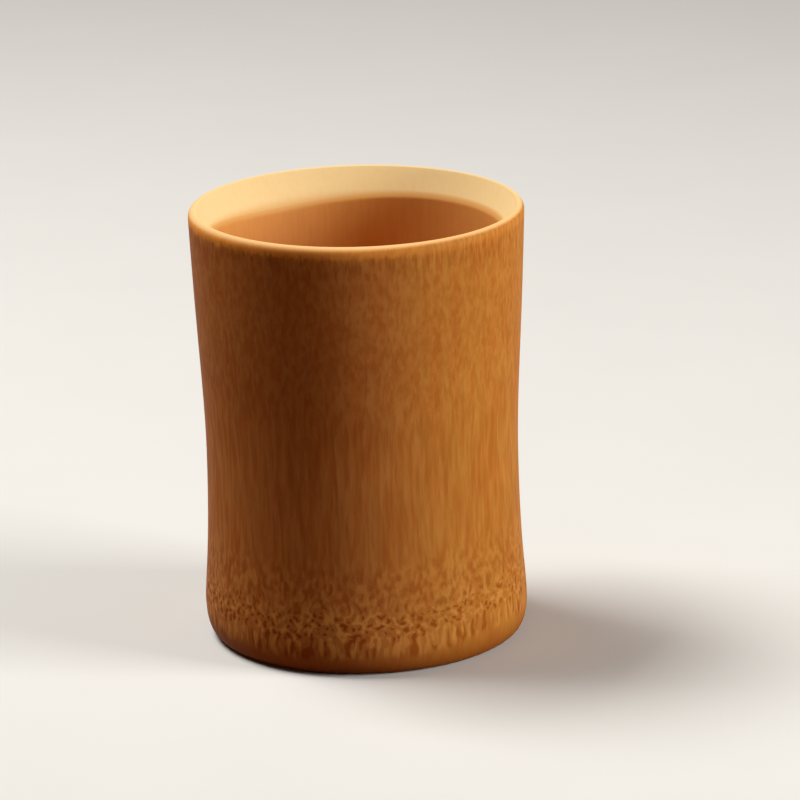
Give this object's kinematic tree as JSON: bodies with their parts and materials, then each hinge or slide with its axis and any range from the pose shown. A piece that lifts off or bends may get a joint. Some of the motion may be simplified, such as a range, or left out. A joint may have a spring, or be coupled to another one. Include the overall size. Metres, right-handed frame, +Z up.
{
  "type": "bamboo cup",
  "caption": "Straight-sided drinking cup turned from one length of bamboo culm, slightly waisted, with a bevelled rounded lip, the culm's own node as floor and a hollow foot ring.",
  "frame": {"origin": "middle of the foot ring, on the surface that the cup stands on", "axes": "+Z up along the turned outside's axis; +X is the side towards which the hollow of the culm lies off that axis, where the wall is thinnest"},
  "size_m": [0.07, 0.07, 0.0925],
  "materials": {
    "culm": "carbonised bamboo under a thin satin lacquer, honey brown with darker fibre streaks; pale sanded bamboo at the lip and bevel",
    "node": "bare bamboo cross wall, matt, with a fine tangled grain",
    "pith": "brown pith layer, scraped smooth, satin"
  },
  "bodies": {
    "root": {"culm_wall": "culm", "node_floor": "node", "pith_lining": "pith"}
  },
  "joints": []
}
